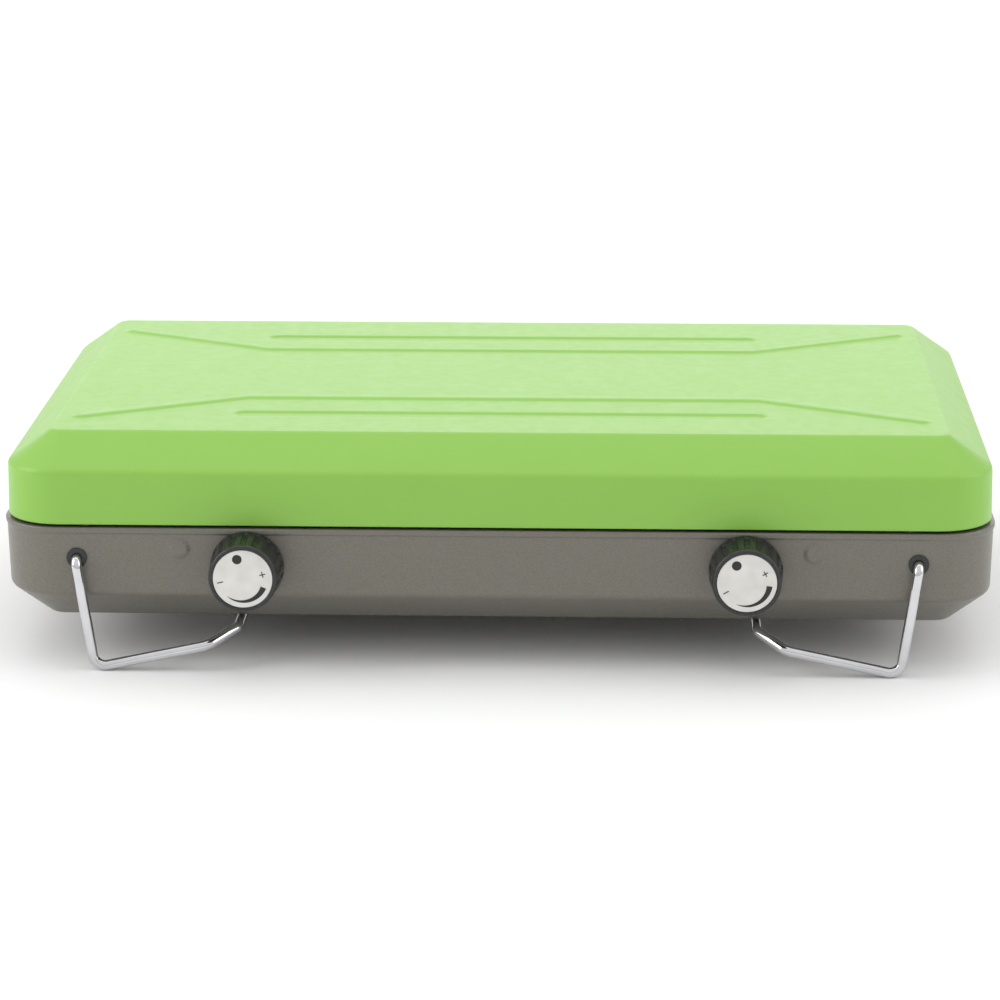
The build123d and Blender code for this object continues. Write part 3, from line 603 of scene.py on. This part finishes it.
def knob_section(length):
    """Pocket, rounded rim, fluted skirt, hollow back and hub."""
    rim = [(1.15, 16.4, 0), (1.15, DIAL_R + 0.05, 0), (0.55, DIAL_R + 0.08, 0),
           (0.22, DIAL_R + 0.25, 0), (0.05, DIAL_R + 0.6, 0), (0.0, DIAL_R + 1.0, 0),
           (0.1, DIAL_R + 1.5, 0), (0.45, DIAL_R + 2.0, 0), (1.0, DIAL_R + 2.35, 0),
           (1.7, DIAL_R + 2.5, 0), (2.6, DIAL_R + 2.5, 0), (3.2, 19.55, 0.12),
           (3.7, 19.6, 0.45), (4.3, 19.68, 0.8), (5.2, 19.75, 1.0)]
    skirt = [(length * k / 8, 19.6 + 1.55 * k / 8, 1.0) for k in (3, 4, 5, 6)]
    back = [(length - 4.0, 20.95, 1.0), (length - 3.0, 21.05, 0.85),
            (length - 2.2, 21.12, 0.4), (length - 1.4, 21.15, 0.0),
            (length - 0.5, 21.15, 0.0), (length - 0.1, 20.9, 0.0), (length, 20.5, 0.0),
            (length, 17.9, 0.0), (4.0, 16.3, 0.0), (3.6, 15.8, 0.0), (3.6, 7.0, 0.0),
            (4.0, 6.5, 0.0), (length - 3.0, 6.5, 0.0), (length - 2.6, 6.2, 0.0),
            (length - 2.6, 3.1, 0.0), (6.0, 3.05, 0.0)]
    return rim + skirt + back


def add_prism(bm, outline, y_front, y_back):
    """A thin flat mark from its outline of (x, z) points."""
    front = [bm.verts.new((x, y_front, z)) for x, z in outline]
    back = [bm.verts.new((x, y_back, z)) for x, z in outline]
    bm.faces.new(front)
    bm.faces.new(back)
    join_rings(bm, front, back)


def dial_marks(centre, face, turn_back, name):
    """Generic dial marks: off dot, minus, plus and a tapered arc, turned back with the dial."""

    def polar(angle, radius):
        turn = radians(angle - turn_back)
        return centre.x + radius * sin(turn), centre.z + radius * cos(turn)

    def local(angle, radius, across, along):
        """A point near (angle, radius), moved in the dial's own directions."""
        x, z = polar(angle, radius)
        tilt = radians(turn_back)
        return (x + across * cos(tilt) - along * sin(tilt),
                z + across * sin(tilt) + along * cos(tilt))

    front, back = face - DIAL_MARK_T, face + 0.2
    bm = bmesh.new()
    dot_r, dot_sides = 2.75, 40
    corners = [2 * pi * k / dot_sides for k in range(dot_sides)]
    add_prism(bm, [local(0, 11.9, dot_r * sin(c), dot_r * cos(c)) for c in corners], front, back)
    long, thick = 1.75, 0.3
    minus = [(-long, -thick), (long, -thick), (long, thick), (-long, thick)]
    add_prism(bm, [local(-85, 12.9, a, b) for a, b in minus], front, back)
    plus = [(-thick, -long), (thick, -long), (thick, -thick), (long, -thick), (long, thick),
            (thick, thick), (thick, long), (-thick, long), (-thick, thick), (-long, thick),
            (-long, -thick), (-thick, -thick)]
    add_prism(bm, [local(91, 11.6, a, b) for a, b in plus], front, back)
    start, end, count = 127.0, 236.0, 28
    outer, inner = [], []
    for k in range(count + 1):
        share = k / count
        angle = start + (end - start) * share
        width = 3.3 * (1 - share) ** 0.85 + 0.05
        middle = 12.7 + 0.9 * share
        outer.append(polar(angle, middle + width / 2))
        inner.append(polar(angle, middle - width / 2))
    add_prism(bm, outer + inner[::-1], front, back)
    marks = finish_mesh(bm, f"dial_marks_{name}", dial_ink)
    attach(marks, f"knob_{name}")


def knob(name, turn_back):
    """Fluted grip, dial disc and marks of one knob."""
    low, high = box_mm(f"knob_body_{name}")
    disc_low, _ = box_mm(f"knob_disc_{name}")
    centre = joint_at[f"knob_{name}_turn"]
    bm = bmesh.new()
    turned(bm, centre, low.y, knob_section(high.y - low.y))
    body = finish_mesh(bm, f"knob_grip_{name}", materials["black_plastic"], 40)
    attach(body, f"knob_{name}")
    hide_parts(f"knob_body_{name}")
    bm = bmesh.new()
    turned(bm, centre, disc_low.y, DISC_SECTION)
    disc = finish_mesh(bm, f"dial_{name}", materials["dial_plate"], 60)
    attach(disc, f"knob_{name}")
    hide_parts(f"knob_disc_{name}")
    dial_marks(centre, disc_low.y, turn_back, name)


# Side of the stove, name, and how many degrees the dial sits turned anticlockwise
for side, name, turn_back in ((-1, "left", 14.4), (1, "right", 30.0)):
    leg(side, name)
    knob(name, turn_back)


# ---- CAD nodes that keep their own shape ----
# Width of the softened edges on each kind of node; other nodes keep their edges
EDGE_SOFTENING = {
    "drip_pan": 0.5, "burner_body": 0.5, "burner_cap": 0.4, "valve_body": 0.4,
    "hinge_base_leaf": 0.25, "hinge_lid_leaf": 0.25, "gas_inlet": 0.3, "inlet_lock_nut": 0.3,
    "pipe_clip": 0.2, "drip_pan_screws": 0.15, "hinge_pins": 0.2, "leg_bushes": 0.15,
    "lid_buffers": 0.3, "leg_clips": 0.1, "valve_spindle": 0.2, "injector": 0.15,
}
slot_of = {row["node"]: row["material_slot"] for row in frame["record"]["subparts"]}
for node_name, node in frame["nodes"].items():
    node.data.materials.clear()
    node.data.materials.append(materials[slot_of[node_name]])
    plain_name = node_name.removesuffix("_left").removesuffix("_right")
    if node.hide_render or plain_name not in EDGE_SOFTENING:
        continue
    weld = node.modifiers.new("weld", "WELD")
    weld.merge_threshold = 0.001 * MM
    bevel = node.modifiers.new("edges", "BEVEL")
    bevel.width = EDGE_SOFTENING[plain_name] * MM
    bevel.segments = 2
    bevel.limit_method = "ANGLE"
    bevel.angle_limit = radians(40)


# ---- floor, light and camera ----
bm = bmesh.new()
bmesh.ops.create_circle(bm, cap_ends=True, segments=96, radius=9000)
FLOOR_WHITE = (0.93, 0.93, 0.93)
floor_paper = new_material("floor_white", FLOOR_WHITE, 0.9)
vary_color(floor_paper, noise(floor_paper, 2, 2), shade(FLOOR_WHITE, 0.995),
           shade(FLOOR_WHITE, 1.005))
floor = finish_mesh(bm, "studio_floor", floor_paper)


def softbox(name, place, aim, width, height, power):
    lamp = bpy.data.lights.new(name, "AREA")
    lamp.shape = "RECTANGLE"
    lamp.size = width
    lamp.size_y = height
    lamp.energy = power
    holder = bpy.data.objects.new(name, lamp)
    holder.location = place
    direction = Vector(aim) - Vector(place)
    holder.rotation_euler = direction.to_track_quat("-Z", "Y").to_euler()
    holder.visible_camera = False
    bpy.context.scene.collection.objects.link(holder)


softbox("softbox_top", (0.0, 0.5, 2.2), (0, 0, 0.1), 2.8, 1.8, 9)
softbox("softbox_rear", (-0.1, 3.0, 0.95), (0, 0, 0.1), 3.6, 1.5, 16)
softbox("softbox_left", (-2.0, -0.5, 1.1), (0, 0, 0.1), 1.2, 1.6, 16)
softbox("softbox_right", (2.0, -0.3, 1.1), (0, 0, 0.1), 1.2, 1.6, 9)

# An even pale surround, brighter overhead than at the horizon
world = bpy.data.worlds.new("studio")
world.use_nodes = True
background = world.node_tree.nodes["Background"]
background.inputs["Strength"].default_value = 0.92
place = add_node(world, "ShaderNodeTexCoord")
split = add_node(world, "ShaderNodeSeparateXYZ")
ramp = add_node(world, "ShaderNodeValToRGB")
ramp.color_ramp.elements[0].position = 0.0
ramp.color_ramp.elements[0].color = (0.72, 0.72, 0.72, 1)
ramp.color_ramp.elements[1].position = 0.6
ramp.color_ramp.elements[1].color = (1.0, 1.0, 1.0, 1)
world.node_tree.links.new(place.outputs["Generated"], split.inputs["Vector"])
world.node_tree.links.new(split.outputs["Z"], ramp.inputs["Fac"])
world.node_tree.links.new(ramp.outputs["Color"], background.inputs["Color"])
bpy.context.scene.world = world
bpy.context.scene.view_settings.view_transform = "Standard"

CAMERA_LENS = 123.5
CAMERA_ELEVATION = radians(15.78)
CAMERA_YAW = radians(-2.295)
CAMERA_ROLL = radians(-0.174)
CAMERA_AIM = Vector((-0.0043, 0.0, 0.0543))
CAMERA_DISTANCE = 2.1234

ahead = Vector((sin(CAMERA_YAW) * cos(CAMERA_ELEVATION),
                cos(CAMERA_YAW) * cos(CAMERA_ELEVATION), -sin(CAMERA_ELEVATION)))
level = Vector((cos(CAMERA_YAW), -sin(CAMERA_YAW), 0))
above = level.cross(ahead)
across = cos(CAMERA_ROLL) * level + sin(CAMERA_ROLL) * above
upward = cos(CAMERA_ROLL) * above - sin(CAMERA_ROLL) * level
lens = bpy.data.cameras.new("camera")
lens.lens = CAMERA_LENS
lens.sensor_width = 36.0
camera = bpy.data.objects.new("camera", lens)
turn = Matrix((across, upward, -ahead)).transposed()
camera.matrix_world = Matrix.Translation(CAMERA_AIM - ahead * CAMERA_DISTANCE) @ turn.to_4x4()
bpy.context.scene.collection.objects.link(camera)
bpy.context.scene.camera = camera
